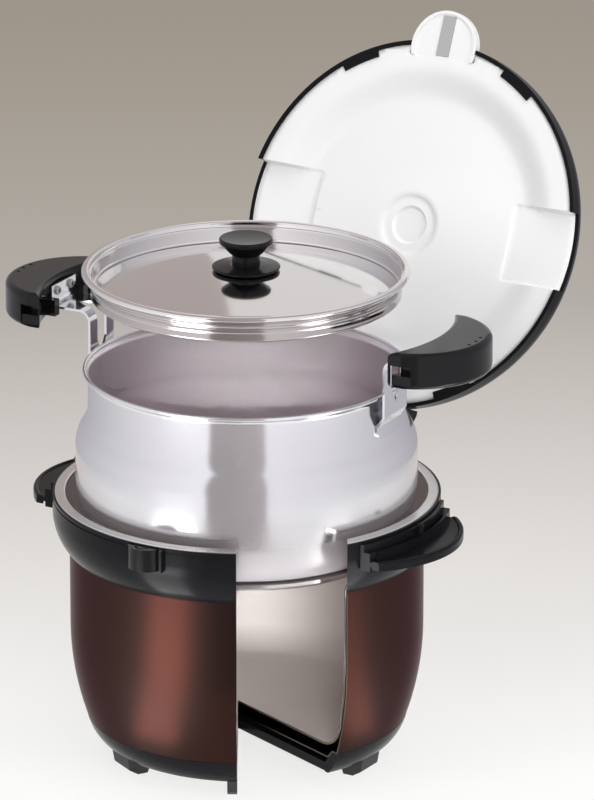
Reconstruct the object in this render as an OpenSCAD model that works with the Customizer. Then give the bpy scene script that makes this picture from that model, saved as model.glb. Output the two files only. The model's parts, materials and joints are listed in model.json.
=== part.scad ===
// Vacuum thermal cooker as a cut-away display: outer lid open, pot raised, pot lid lifted off.
// Millimetres, +Z up. The origin is on the vessel's axis at the table, latch on -Y, hinge on +Y.

/* [Pot] */
// Outer radius of the pot's belly
pot_r = 92; // [84:0.5:104]
// How much narrower the pot's neck is than its belly
neck_in = 5.8; // [4:0.2:7]
// How far the lip stands out from the neck
lip_out = 2.6; // [2:0.2:3.2]
// Height of the pot's sheet body
pot_h = 96.5; // [90:0.5:97]
// Sheet thickness of the pot
pot_t = 1.1; // [0.8:0.1:1.3]
// Radius of the pot's bottom corner
pot_corner = 20; // [14:1:24]
// Thickness of the sandwich disc
disc_t = 4; // [3:0.5:5]
// How far the disc's edge lies inside the belly
disc_in = 10; // [7:0.5:16]
// How far the pot is lifted
pot_lift = 89.6; // [80:0.4:100]
// Turn of the pot's handles away from the wings
pot_turn = 3; // [-4:0.5:4]

/* [Vessel] */
// Height of the mouth ring's top above the table
vessel_h = 151; // [145:1:165]
// Space left round the pot's belly
pot_gap = 2.4; // [2:0.1:4]
// Sheet thickness of the two steel shells
wall_t = 0.6; // [0.5:0.1:0.8]
// Space between the two shells
vacuum_gap = 1.4; // [1.2:0.1:1.8]
// Step out from the cavity to the mouth
mouth_step = 4.6; // [3.6:0.2:6]
// Width of the mouth ring
ring_w = 6; // [5.4:0.2:8]
// Thickness of the mouth ring
ring_t = 1.7; // [1.4:0.1:2]
// Height of the inner floor above the table
floor_z = 27; // [26:0.5:29]
// Radius of the inner floor's corner
floor_corner = 16; // [12:1:18]
// Radius of the shell's long curve towards the base
curve_r = 156; // [130:2:180]
// Height at which that curve begins
curve_z = 75; // [66:1:85]

/* [Collar] */
// Width of the collar's rim outside the mouth ring
collar_lip = 1.2; // [0.8:0.1:2]
// Height of the collar
collar_h = 31; // [27:0.5:35]
// Height of the collar's upright band
band_h = 9.5; // [8:0.5:11]
// Width of the latch catch
catch_w = 21; // [17:0.5:25]
// Height of the latch catch
catch_h = 12.5; // [10:0.5:14]
// How far the latch catch stands out from the collar
catch_out = 6.5; // [5:0.5:8]

/* [Wings] */
// Reach of a wing beyond the collar
wing_out = 22; // [18:0.5:27]
// Radius of a wing's outline
wing_r = 59; // [54:1:66]
// Width of a wing
wing_w = 86; // [74:1:92]
// Thickness of a wing's tongue
wing_t = 2.6; // [2:0.2:3.4]
// Depth of the rolled edge of a wing
wing_lip = 5; // [4:0.5:7]
// Height of a wing's rail on the collar
rail_h = 14.5; // [13:0.5:17]
// Thickness of that rail
rail_t = 5.5; // [5:0.5:7]

/* [Base] */
// Height of the feet
foot_h = 10; // [8:0.5:12]
// Number of feet
foot_n = 6; // [3:1:8]
// How far the base tapers in to its lower edge
base_in = 8.2; // [7:0.2:10]
// Height of the base ring
base_h = 13.4; // [12.5:0.2:14.5]
// Thickness of the base plate
plate_t = 5; // [4:0.5:6]

/* [Cut] */
// Bearing of the cut-away opening
cut_az = 31; // [28:1:34]
// Distance of the left cut face from the axis
cut_left = 5; // [4:0.5:8]
// Angle between the two cut faces
cut_angle = 36.5; // [30:0.5:40]

/* [Outer lid] */
// How far the lid's edge lies inside the collar's
lid_inset = 1.6; // [1:0.2:2.4]
// Height of the lid's upright side
lid_side = 6.3; // [4:0.2:9]
// Radius of the lid's crown
crown_r = 190; // [170:5:220]
// Radius of the lid's shoulder
shoulder_r = 15; // [12:0.5:18]
// Wall of the lid shell
lid_t = 2.2; // [1.8:0.2:3]
// Wall of the white liner
liner_t = 1.8; // [1.4:0.1:2.2]
// Width of the flat flange round the liner
flange_w = 11; // [9:0.5:13]
// Radius of the bend from the flange into the dome
flange_bend = 8; // [5:0.5:10]
// Rise of the liner's dome above its flange
dome_h = 17; // [15.5:0.5:18]
// Space beside a pot handle in its channel
notch_play = 9; // [7:0.5:11]
// Height of those channels above the lid's rim
notch_h = 7.5; // [6:0.5:8]
// Radius of the round recess over the knob
dimple_r = 17; // [13:0.5:20]
// Radius of the front tab
tab_r = 20.5; // [17:0.5:22]
// Width of the grey strip on the tab
strip_w = 8; // [6:0.2:9]
// Angle by which the lid stands open
open_angle = 114; // [100:1:116]
// Distance of the hinge pin behind the lid
hinge_back = 15.4; // [14.5:0.2:18]
// Radius of the hinge pin
pin_r = 2.5; // [2:0.1:3]
// Width of the hinge
hinge_w = 50; // [44:1:72]

/* [Handles] */
// Width of a handle bracket
bracket_w = 26; // [23:1:29]
// Width of each strap
strap_w = 8; // [6:0.5:9]
// Sheet thickness of a bracket
bracket_t = 1.3; // [1:0.1:1.5]
// Height of the bracket's plate above the pot's rim
plate_up = 20; // [18:0.5:22]
// Space between the lid's edge and a grip
grip_gap = 11.9; // [10:0.5:16]
// Length of a grip
grip_l = 79; // [70:1:80]
// Height of a grip
grip_h = 20; // [17.5:0.5:24]
// Depth of a grip
grip_d = 28; // [24:0.5:31]
// Radius of a grip's outer curve
grip_out_r = 41; // [40:0.5:52]
// Radius of a grip's inner curve
grip_in_r = 84; // [66:2:100]
// Radius of a grip's rounded edge
grip_edge = 3.2; // [2:0.2:5]

/* [Pot lid] */
// How far the lid's rolled edge reaches past the pot's lip
bead_over = 0.5; // [0.2:0.1:0.7]
// Space between the lid's skirt and the pot's neck
skirt_gap = 0.8; // [0.5:0.1:2]
// Depth of the skirt below the rolled edge
skirt_h = 13; // [11:0.5:15]
// Sheet thickness of the pot lid
pan_t = 0.8; // [0.6:0.1:1]
// Rise of the crown above the gutter
pan_rise = 10.5; // [8:0.5:12]
// Radius of the knob
knob_r = 14.7; // [12:0.3:16]
// Radius of the knob's flange
knob_base_r = 18.5; // [16:0.5:21]
// How far the pot lid is lifted off the pot
pan_lift = 52.7; // [45:0.1:60]

/* [Hidden] */
$fn = 96;
eps = 0.01;
// Space left between neighbouring curved faces
clear = 0.3;
// Radial running clearance on the hinge pin
run = 0.06;
// Space left where a moving piece seats
seat = 0.4;

cavity_r = pot_r + pot_gap;
shell_r = cavity_r + 2 * wall_t + vacuum_gap;
mouth_r = cavity_r + mouth_step;
mouth_out_r = mouth_r + 2 * wall_t + 2.6;
ring_r = mouth_r + ring_w;
collar_r = ring_r + collar_lip;
ring_z = vessel_h - ring_t;
ledge_z = ring_z - 1.8;
collar_top = vessel_h - 0.8;
collar_z = collar_top - collar_h;
flare_h = 8;
flare_z = collar_z + 0.8;
base_top = foot_h + base_h;
curve_x = shell_r - curve_r;
foot_r = curve_x + sqrt(pow(curve_r, 2) - pow(curve_z - base_top, 2));
base_r = foot_r - base_in;
inner_curve_r = curve_r - 2 * wall_t - vacuum_gap;
corner_z = floor_z + floor_corner;
corner_x = curve_x + sqrt(pow(inner_curve_r - floor_corner, 2) - pow(curve_z - corner_z, 2));
corner_slope = (curve_z - corner_z) / (inner_curve_r - floor_corner);
dish_z = base_top - 4.4;
dish_rim = 4;
plate_top = foot_h + 0.5 + plate_t;

rail_r = collar_r + clear + rail_t;
rail_top = collar_top - 1.2;
rail_z = rail_top - rail_h;
rail_step = 4.2;
tongue_z = rail_top - 9;
strip_t = 2;
boss_x = collar_r + clear + rail_t / 2 + 0.2;
boss_r = 2.2;

lid_r = collar_r - lid_inset;
lid_z = vessel_h + 0.5;
hinge_y = lid_r + hinge_back;
hinge_z = vessel_h - 2.5;
barrel_r = pin_r + 3;
ear_w = 10;
arm_h = 13;
shoulder_x = lid_r - shoulder_r;
shoulder_z = lid_side;
crown_c = shoulder_z - sqrt(pow(crown_r - shoulder_r, 2) - pow(shoulder_x, 2));
lid_h = crown_c + crown_r;
blend_x = shoulder_x * crown_r / (crown_r - shoulder_r);
liner_r = lid_r - lid_t - clear;
flange_r = liner_r - flange_w;
flange_z = 1;
dome_sphere = (pow(flange_r, 2) + pow(dome_h, 2)) / (2 * dome_h);
dome_c = flange_z + dome_h - dome_sphere;
notch_w = bracket_w + 2 * notch_play;
dimple_d = 1.4;
tab_y = lid_r - 2.9;
tab_in = flange_r + 4;
tab_t = 4.6;
lug_l = 4;
strip_in = tab_in + 1.2;
strip_l = tab_y + tab_r - strip_in - 3;

rim_z = vessel_h + seat - plate_up + pot_lift;
neck_r = pot_r - neck_in;
lip_r = neck_r + lip_out;
disc_r = pot_r - disc_in;
lip_h = 6;
neck_top = -14;
neck_low = -26;
belly_top = -51;
s_r = (pow((neck_low - belly_top) / 2, 2) + pow((pot_r - neck_r) / 2, 2)) / (pot_r - neck_r);
s_mid = (neck_low + belly_top) / 2;
lip_bead = 1.1;
bead_r = lip_r + bead_over;
skirt_r = neck_r - pot_t - skirt_gap;
strap_x = max(bead_r, lip_r + 0.5) + seat + clear;
grip_in_x = lid_r + grip_gap;
grip_out_x = grip_in_x + grip_d;
grip_z = plate_up - 4.5;
weld_r = neck_r + clear;
flange_x = grip_in_x - grip_in_r + sqrt(pow(grip_in_r, 2) - pow(bracket_w / 2, 2)) - clear;
turned_up = 12;

pan_z = rim_z + clear + pan_lift;
bead_h = 3;
fold_h = 5;
gutter_z = fold_h - skirt_h;
pan_in_r = skirt_r - 2 * pan_t;
pan_sphere = (pow(pan_in_r, 2) + pow(pan_rise, 2)) / (2 * pan_rise);
crown_z = gutter_z + pan_rise;
neck_h = 5.4;
knob_h = 14.8;
hole_r = 3.1;

// Shared shapes

module band(r0, r1, z0, z1) { translate([r0, z0]) square([r1 - r0, z1 - z0]); }

// Points on an arc, from the first step on
function arc(c, r, a0, a1, n, first = 0) =
    [for (i = [first : n]) c + r * [cos(a0 + (a1 - a0) * i / n), sin(a0 + (a1 - a0) * i / n)]];

function reversed(v) = [for (i = [len(v) - 1 : -1 : 0]) v[i]];

module cup(r, z0, z1, rc) {
    band(0, r, z0 + rc, z1);
    band(0, r - rc, z0, z0 + rc + 1);
    intersection() {
        translate([r - rc, z0 + rc]) circle(rc);
        band(r - rc - eps, r + 1, z0 - 1, z0 + rc + eps);
    }
}

// Plan of the opening that shows the double wall: the left face runs along the bearing, the right face
// is oblique up to the shell and then runs along the bearing through the collar.
module opening() {
    s = sin(cut_angle);
    t = cut_left * s + sqrt(pow(cut_left * s, 2) + pow(shell_r, 2) - pow(cut_left, 2));
    cx = t * s - cut_left;
    reach = collar_r + wing_r;
    rotate([0, 0, cut_az]) translate([0, 0, -5]) linear_extrude(vessel_h + 20)
        polygon([[-cut_left, 0], [-cut_left, -reach], [cx, -reach], [cx, -t * cos(cut_angle)]]);
}

module cut_away() { difference() { children(); opening(); } }

module at_lid() {
    translate([0, hinge_y, hinge_z]) rotate([-open_angle, 0, 0])
        translate([0, -hinge_y, lid_z - hinge_z]) children();
}

module at_pot() { translate([0, 0, rim_z]) rotate([0, 0, pot_turn]) children(); }

module at_pan() { translate([0, 0, pan_z]) children(); }

module screw(r, h) {
    difference() {
        union() {
            cylinder(h = h, r = r);
            translate([0, 0, h]) cylinder(h = 0.6, r1 = r, r2 = r * 0.8);
        }
        for (a = [0, 90]) rotate([0, 0, a]) translate([-r * 0.6, -0.5, h - 0.4]) cube([r * 1.2, 1, 2]);
    }
}

// Vessel

module outer_shell() {
    color([0.23, 0.16, 0.16]) cut_away() rotate_extrude() {
        intersection() {
            difference() {
                translate([curve_x, curve_z]) circle(curve_r, $fn = 180);
                translate([curve_x, curve_z]) circle(curve_r - wall_t, $fn = 180);
            }
            band(foot_r - 6, shell_r + 1, base_top, curve_z);
        }
        band(shell_r - wall_t, shell_r, curve_z - eps, flare_z + 1);
        polygon([[shell_r - wall_t, flare_z + 1 - eps], [shell_r, flare_z + 1 - eps],
                 [mouth_out_r, flare_z + flare_h + 1], [mouth_out_r - wall_t, flare_z + flare_h + 1]]);
        band(mouth_out_r - wall_t, mouth_out_r, flare_z + flare_h + 1 - eps, ring_z);
        polygon([[0, dish_z], [base_r, dish_z], [base_r + dish_rim, base_top], [foot_r, base_top],
                 [foot_r, base_top + wall_t], [base_r + dish_rim - 0.3, base_top + wall_t],
                 [base_r - 0.3, dish_z + wall_t], [0, dish_z + wall_t]]);
    }
}

// Edge of the bowl at a distance g outside the cavity: it runs alongside the outer shell's long curve
function bowl_edge(g, top) = concat(
    [[0, floor_z - g]],
    arc([corner_x, corner_z], floor_corner + g, -90, -asin(corner_slope), 10),
    arc([curve_x, curve_z], inner_curve_r + g, -asin(corner_slope), 0, 8, 1),
    [[cavity_r + g, top]]);

module inner_shell() {
    color([0.8, 0.77, 0.73]) cut_away() rotate_extrude() polygon(concat(
        bowl_edge(wall_t, flare_z),
        [[mouth_r + wall_t, flare_z + flare_h], [mouth_r + wall_t, ring_z],
         [mouth_r, ring_z], [mouth_r, flare_z + flare_h]],
        reversed(bowl_edge(0, flare_z))));
}

module radiation_foil() {
    near = wall_t + 0.4;
    foil_t = 0.2;
    color([0.72, 0.62, 0.4]) cut_away() rotate_extrude() polygon(concat(
        bowl_edge(near + foil_t, flare_z - 4), reversed(bowl_edge(near, flare_z - 4))));
}

module seal_tip() {
    color([0.6, 0.6, 0.6]) translate([-24, 26, dish_z]) rotate([180, 0, 0]) {
        cylinder(h = 1.2, r = 8);
        translate([0, 0, 1.2 - eps]) cylinder(h = 1, r1 = 3.5, r2 = 2.2);
    }
}

module mouth_ring() {
    e = ring_t / 2;
    hem = 0.9;
    color([0.82, 0.8, 0.77]) cut_away() rotate_extrude() polygon(concat(
        [[ring_r - hem, ledge_z], [ring_r, ledge_z]],
        arc([ring_r - e, vessel_h - e], e, 0, 90, 5),
        arc([mouth_r + e, vessel_h - e], e, 90, 180, 5),
        [[mouth_r, ring_z], [ring_r - hem, ring_z]]));
}

module collar() {
    drop = collar_h - band_h;
    in = collar_r - shell_r - clear - 0.4;
    taper_r = (pow(drop, 2) + pow(in, 2)) / (2 * in);
    taper_z = collar_z + drop;
    color([0.07, 0.07, 0.08]) cut_away() rotate_extrude() difference() {
        union() {
            intersection() {
                translate([collar_r - taper_r, taper_z]) circle(taper_r, $fn = 180);
                band(shell_r + clear, collar_r + 1, collar_z, taper_z + eps);
            }
            band(shell_r + clear, collar_r, taper_z, collar_top);
        }
        polygon([[shell_r - 2, flare_z + 1], [shell_r + clear, flare_z + 1],
                 [mouth_out_r + clear, flare_z + flare_h + 1], [mouth_out_r + clear, collar_top + 1],
                 [shell_r - 2, collar_top + 1]]);
        band(shell_r, ring_r + clear, ledge_z, collar_top + 1);
        // Shadow groove round the band
        band(collar_r - 0.5, collar_r + 1, collar_top - 2.6, collar_top - 1.8);
    }
}

module latch_catch() {
    top = collar_top - 0.6;
    y = -(collar_r + catch_out - catch_w / 2);
    color([0.07, 0.07, 0.08]) difference() {
        union() {
            translate([0, y, top - catch_h]) cylinder(h = catch_h, r = catch_w / 2);
            translate([0, y, top - catch_h]) translate([-catch_w / 2, 0, 0]) cube([catch_w, 12, catch_h]);
            translate([catch_w / 2 + 0.4, -collar_r - 2.2, top - catch_h]) cube([1.6, 6, catch_h]);
        }
        translate([0, 0, top - catch_h - 1]) cylinder(h = catch_h + 2, r = collar_r + clear);
        // Arrow mark on the top
        for (m = [-1, 1]) translate([0, -collar_r - catch_out + 1.4, top - 0.7])
            rotate([0, 0, 90 - m * 52]) translate([0, -0.6, 0]) cube([5.2, 1.2, 2]);
    }
}

// Part of a ring round the vessel's axis, as wide as a wing less an inset at each end
module rail(r1, r2, z1, z2, inset = 0) {
    w = wing_w - 2 * inset;
    intersection() {
        rotate_extrude() band(r1, r2, z1, z2);
        translate([0, -w / 2, z1 - 1]) cube([r2 + 1, w, z2 - z1 + 2]);
    }
}

module wing() {
    r0 = collar_r + clear;
    tip = collar_r + wing_out;
    step_z = rail_top - rail_step;
    wall = 1.4;
    end = wing_w * 0.13;
    difference() {
        union() {
            // Rail on the collar: a low outer part and a thin strip up to the rim
            rail(r0 - 1, rail_r, rail_z, step_z);
            rail(r0 - 1, r0 + strip_t, rail_z, rail_top);
            // Tongue with its rolled edge
            intersection() {
                translate([tip - wing_r, 0, tongue_z - wing_t]) cylinder(h = wing_t, r = wing_r - 1);
                translate([0, -wing_w / 2, 0]) cube([tip + 1, wing_w, vessel_h]);
            }
            intersection() {
                translate([tip - wing_r, 0, tongue_z + 0.8]) rotate_extrude() polygon(concat(
                    arc([wing_r - 2, -1.6], 1.6, 0, 180, 10),
                    [[wing_r - 3.2, -wing_lip], [wing_r - 0.4, -wing_lip]]));
                translate([0, -wing_w / 2, 0]) cube([tip + 1, wing_w, vessel_h]);
            }
        }
        translate([0, 0, -1]) cylinder(h = vessel_h + 2, r = r0);
        // Trough between the strip and the rail's front wall, and a joint line near each end
        rail(r0 + strip_t + 0.2, rail_r - wall, tongue_z, rail_top, end);
        difference() {
            rail(rail_r - 0.6, rail_r + 1, tongue_z, rail_top, wing_w * 0.04);
            rail(rail_r - 2, rail_r + 2, rail_z, rail_top + 1, wing_w * 0.05);
        }
    }
    // Screw boss in the trough
    translate([boss_x, 0, tongue_z - 1]) cylinder(h = rail_top - tongue_z + 1, r = boss_r);
}

module wing_right() { color([0.07, 0.07, 0.08]) wing(); }

module wing_left() { color([0.07, 0.07, 0.08]) mirror([1, 0, 0]) wing(); }

module wing_screws() {
    color([0.55, 0.55, 0.56]) for (m = [0, 1]) mirror([m, 0, 0])
        translate([boss_x, 0, rail_top]) screw(boss_r - 0.4, 0.5);
}

module base_cover() {
    ax = foot_r + 0.1;
    dx = ax - base_r;
    l = sqrt(pow(dx, 2) + pow(base_h, 2));
    r = 24;
    h = sqrt(pow(r, 2) - pow(l / 2, 2));
    cx = (ax + base_r) / 2 - h * base_h / l;
    cz = foot_h + base_h / 2 + h * dx / l;
    color([0.07, 0.07, 0.08]) cut_away() rotate_extrude() difference() {
        intersection() {
            union() {
                translate([cx, cz]) circle(r);
                band(0, cx, foot_h, base_top);
            }
            band(0, shell_r, foot_h, base_top);
        }
        polygon([[0, plate_top], [base_r - 3, plate_top], [base_r + dish_rim + clear, base_top],
                 [base_r + dish_rim, base_top + 1], [0, base_top + 1]]);
        band(0, base_r - 3, foot_h - 1, foot_h + 0.5);
    }
}

module base_screws() {
    color([0.55, 0.55, 0.56]) for (a = [90, 210, 330])
        rotate([0, 0, a + 30]) translate([40, 0, foot_h + 0.5]) rotate([180, 0, 0]) screw(4, 1.6);
}

module foot_pads() {
    color([0.05, 0.05, 0.055]) cut_away() for (i = [0 : foot_n - 1]) rotate([0, 0, i * 360 / foot_n])
        rotate([90, 0, 0]) translate([0, 0, -9]) linear_extrude(18)
            polygon([[base_r - 17, foot_h + 0.5], [base_r - 3.8, foot_h + 0.5], [base_r - 3.8, foot_h],
                     [base_r - 0.6, foot_h], [base_r - 2, 3], [base_r - 7, 0], [base_r - 13, 0]]);
}

module hinge_bracket() {
    r0 = collar_r + clear;
    low = hinge_z - 15;
    color([0.07, 0.07, 0.08]) difference() {
        union() {
            translate([-hinge_w / 2, r0 - 9, low]) cube([hinge_w, hinge_y - barrel_r - 1.6 - r0 + 9, 13]);
            for (m = [0, 1]) mirror([m, 0, 0]) translate([hinge_w / 2 - ear_w, 0, 0]) {
                translate([0, hinge_y, hinge_z]) rotate([0, 90, 0]) cylinder(h = ear_w, r = barrel_r);
                translate([0, r0 - 9, low]) cube([ear_w, hinge_y + barrel_r * 0.6 - r0 + 9, 10]);
                translate([0, hinge_y - barrel_r, low]) cube([ear_w, 2 * barrel_r, hinge_z - low]);
            }
        }
        translate([0, 0, low - 1]) cylinder(h = vessel_h, r = r0);
        translate([-hinge_w, hinge_y, hinge_z]) rotate([0, 90, 0]) cylinder(h = 2 * hinge_w, r = pin_r + run);
    }
}

module hinge_pin() {
    color([0.7, 0.7, 0.7]) translate([-hinge_w / 2, hinge_y, hinge_z]) rotate([0, 90, 0])
        cylinder(h = hinge_w, r = pin_r);
}

// Outer lid, drawn closed with its rim at zero and then swung open

module lid_solid(inset) {
    x = blend_x * (crown_r - inset) / crown_r;
    band(0, lid_r - inset, 0, shoulder_z);
    intersection() {
        translate([0, crown_c]) circle(crown_r - inset, $fn = 240);
        band(0, x, 0, lid_h + 1);
    }
    intersection() {
        translate([shoulder_x, shoulder_z]) circle(shoulder_r - inset);
        band(x - eps, lid_r + 1, shoulder_z - eps, lid_h);
    }
    band(0, shoulder_x, shoulder_z - eps, shoulder_z + shoulder_r * 0.6);
}

module lid_notches() {
    for (m = [-1, 1]) translate([m * lid_r, 0, notch_h / 2 - 1])
        cube([2 * shoulder_r, notch_w, notch_h + 2], center = true);
}

module lid_shell() {
    color([0.05, 0.05, 0.055]) at_lid() {
        difference() {
            rotate_extrude() difference() {
                lid_solid(0);
                translate([0, -eps]) lid_solid(lid_t);
                band(0, lid_r - lid_t, -1, 1);
            }
            lid_notches();
            translate([-tab_r - clear, -lid_r - tab_r, -1])
                cube([2 * tab_r + 2 * clear, 2 * tab_r, 1 + tab_t + 0.2 + clear]);
        }
        // Snap lugs that hold the liner's flange
        for (a = [-120, -60, 60, 120]) rotate([0, 0, a - 6.5]) rotate_extrude(angle = 13)
            band(lid_r - lid_t - lug_l, lid_r - lid_t + 0.5, 0, flange_z - 0.1);
    }
}

// Region under the liner, moved up by z: flat flange, rounded bend and shallow dome
module liner_skin(z) {
    x = sqrt(pow(dome_sphere + flange_bend, 2) - pow(flange_z + flange_bend - dome_c, 2));
    b = asin(x / (dome_sphere + flange_bend));
    polygon(concat(
        [[0, -1], [liner_r + 1, -1], [liner_r + 1, flange_z + z]],
        arc([x, flange_z + flange_bend + z], flange_bend, 270, 270 - b, 6),
        arc([0, dome_c + z], dome_sphere, 90 - b, 90, 36, 1)));
}

// Stepped channels that lead the pot's straps through the flange and out of the dome
module channels(grow) {
    w = notch_w + 2 * grow;
    x = flange_r - 40 - grow;
    for (m = [0, 1]) mirror([m, 0, 0]) for (c = [[flange_r - 17, 3.7], [flange_r, 2], [liner_r + 1, 0]])
        translate([x, -w / 2, -1]) cube([c[0] + grow - x, w, 1 + notch_h + c[1] + grow]);
}

// Stepped round recess in the middle of the dome
module dimple(grow) {
    for (c = [[1, dimple_d / 3], [0.62, dimple_d]]) translate([0, 0, flange_z + dome_h - 3])
        cylinder(h = 3 + c[1] + grow, r1 = dimple_r * c[0] + 1.5 + grow, r2 = dimple_r * c[0] + grow);
}

module lid_liner() {
    color([0.93, 0.93, 0.92]) at_lid() difference() {
        intersection() {
            union() {
                rotate_extrude() liner_skin(liner_t);
                channels(liner_t);
                dimple(liner_t);
            }
            rotate_extrude() lid_solid(lid_t + clear);
        }
        rotate_extrude() liner_skin(0);
        channels(0);
        dimple(0);
        // Relief for the snap lugs and the tab
        for (a = [-120, -60, 60, 120]) rotate([0, 0, a - 8]) rotate_extrude(angle = 16)
            band(liner_r - lug_l - 0.6, liner_r + 1, 0, flange_z + 0.5);
        translate([-tab_r - clear, -lid_r - tab_r, -1])
            cube([2 * tab_r + 2 * clear, tab_r + lid_r - tab_in, 2 + tab_t + liner_t]);
    }
}

module lid_foam() {
    color([0.85, 0.83, 0.7]) at_lid() rotate_extrude() intersection() {
        lid_solid(lid_t + 0.4);
        band(0, lid_r, flange_z + dome_h + dimple_d + liner_t + 0.4, lid_h);
    }
}

module tab_plan(grow) {
    translate([0, -tab_y]) circle(tab_r + grow);
}

module latch_tab() {
    color([0.93, 0.93, 0.92]) at_lid() difference() {
        translate([0, 0, 0.2]) linear_extrude(tab_t) tab_plan(0);
        // Dished face inside the raised rim, level with the liner's flange, and the seat of the strip
        translate([0, 0, -1]) linear_extrude(1 + flange_z) tab_plan(-1.8);
        translate([-strip_w / 2 - 0.1, -strip_in - strip_l - 0.1, -1])
            cube([strip_w + 0.2, strip_l + 0.2, 2 + flange_z]);
        // The tab ends at the liner's edge
        translate([-tab_r - 1, -tab_in, -1]) cube([2 * tab_r + 2, 2 * tab_r, tab_t + 2]);
    }
}

module latch_strip() {
    color([0.66, 0.66, 0.66]) at_lid() translate([-strip_w / 2, -strip_in - strip_l, flange_z - 0.4])
        cube([strip_w, strip_l, 1.3]);
}

module lid_hinge_arm() {
    mid = hinge_w - 2 * ear_w - 1;
    pz = hinge_z - lid_z;
    color([0.05, 0.05, 0.055]) at_lid() difference() {
        union() {
            // Wide foot against the lid, waisted towards the barrel
            translate([-hinge_w / 2, lid_r - 6, 1]) cube([hinge_w, hinge_back - barrel_r - 2 + 6, arm_h]);
            translate([-mid / 2, lid_r - 2, pz]) cube([mid, hinge_back + 2, barrel_r + arm_h / 2]);
            translate([-mid / 2, hinge_y, pz]) rotate([0, 90, 0]) cylinder(h = mid, r = barrel_r);
            translate([-mid / 2, hinge_y, pz]) cube([mid, barrel_r, barrel_r]);
        }
        translate([0, 0, -arm_h]) cylinder(h = 3 * arm_h, r = lid_r + clear);
        // Relief over the mouth ring and the collar
        translate([0, 0, -arm_h]) cylinder(h = arm_h + 0.2, r = collar_r + 1);
        translate([-hinge_w, hinge_y, pz]) rotate([0, 90, 0]) cylinder(h = 2 * hinge_w, r = pin_r + run);
        // Back edge rolled off
        translate([0, lid_r, arm_h + 1]) rotate([-28, 0, 0]) translate([-hinge_w, 0, 0])
            cube([2 * hinge_w, 3 * arm_h, 2 * arm_h]);
    }
}

module lid_screws() {
    color([0.55, 0.55, 0.56]) at_lid() for (m = [-1, 1])
        translate([m * (hinge_w / 2 - 5), lid_r + 5, 1]) rotate([180, 0, 0]) screw(2.6, 1);
}

// Pot, drawn with its rim at zero

module pot_region(inset) {
    // The shoulder is two equal arcs that meet on a common tangent
    joint_z = s_mid - inset * (neck_low - belly_top) / 2 / s_r;
    cup(pot_r - inset, inset - pot_h, belly_top, pot_corner - inset);
    intersection() {
        translate([pot_r - s_r, belly_top]) circle(s_r - inset, $fn = 180);
        band(0, pot_r + 1, belly_top - eps, joint_z + eps);
    }
    difference() {
        band(0, pot_r, joint_z, neck_low);
        translate([neck_r + s_r, neck_low]) circle(s_r + inset, $fn = 180);
    }
    band(0, pot_r - s_r, belly_top - 1, neck_low + 1);
    polygon([[0, neck_low - eps], [neck_r - inset, neck_low - eps], [neck_r - inset, neck_top],
             [lip_r - inset, -lip_h], [lip_r - inset, inset - lip_bead], [0, inset - lip_bead]]);
}

module pot_body() {
    color([0.8, 0.8, 0.82]) at_pot() rotate_extrude() {
        difference() { pot_region(0); pot_region(pot_t); }
        translate([lip_r - 0.55 * lip_bead, -lip_bead]) circle(lip_bead, $fn = 40);
    }
}

module pot_base_disc() {
    color([0.72, 0.68, 0.66]) at_pot() translate([0, 0, -pot_h - disc_t]) rotate_extrude()
        polygon([[0, 0], [disc_r - 1.2, 0], [disc_r, 1.2], [disc_r, disc_t - 0.8],
                 [min(disc_r - 0.6, pot_r - pot_corner), disc_t], [0, disc_t]]);
}

module bracket_profile() {
    bend = 7;
    fold = 4;
    top = plate_up + bracket_t;
    // Joggle from the weld plate out to the straps
    polygon([[weld_r - 1, neck_top - 3.5], [weld_r + bracket_t, neck_top - 3.5],
             [strap_x + bracket_t, neck_top + 2], [strap_x + bracket_t, neck_top + 2.5],
             [strap_x, neck_top + 2.5], [strap_x, neck_top + 2]]);
    // Straps: upright, then bent outwards into the plate, then turned up against the grip
    band(strap_x, strap_x + bracket_t, neck_top + 2, top - bend);
    intersection() {
        translate([strap_x + bend, top - bend]) difference() { circle(bend); circle(bend - bracket_t); }
        band(strap_x - 1, strap_x + bend, top - bend, top + 1);
    }
    band(strap_x + bend - eps, flange_x - fold + eps, plate_up, top);
    intersection() {
        translate([flange_x - fold, plate_up + fold]) difference() { circle(fold); circle(fold - bracket_t); }
        band(flange_x - fold, flange_x + 1, plate_up - 1, plate_up + fold);
    }
    band(flange_x - bracket_t, flange_x, plate_up + fold - eps, plate_up + turned_up);
}

module handle_bracket() {
    gap = bracket_w - 2 * strap_w;
    tall = plate_up - neck_low;
    r = 6;
    difference() {
        union() {
            rotate([90, 0, 0]) translate([0, 0, -bracket_w / 2]) linear_extrude(bracket_w) bracket_profile();
            // Weld plate on the neck, with rounded lower corners
            intersection() {
                translate([0, 0, neck_low]) cylinder(h = neck_top - 3 - neck_low, r = weld_r + bracket_t);
                translate([neck_r / 2, 0, 0]) rotate([90, 0, 90]) linear_extrude(neck_r) {
                    translate([-bracket_w / 2, neck_low + 1 + r]) square([bracket_w, tall]);
                    translate([-bracket_w / 2 + r, neck_low + 1]) square([bracket_w - 2 * r, tall]);
                    for (m = [-1, 1]) translate([m * (bracket_w / 2 - r), neck_low + 1 + r])
                        circle(r, $fn = 40);
                }
            }
        }
        translate([0, 0, neck_low - 1]) cylinder(h = tall, r = weld_r);
        // Fork between the two straps, pointed at its foot and on the plate
        translate([0, 0, 4]) rotate([90, 0, 90]) linear_extrude(strap_x + 8)
            polygon([[0, -10], [gap / 2, -1], [gap / 2, tall], [-gap / 2, tall], [-gap / 2, -1]]);
        translate([0, 0, plate_up - 1]) linear_extrude(bracket_t + 2)
            polygon([[strap_x + 7.5, gap / 2], [strap_x + 15, 0], [strap_x + 7.5, -gap / 2]]);
    }
}

module handle_bracket_right() { color([0.75, 0.75, 0.77]) at_pot() handle_bracket(); }

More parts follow.
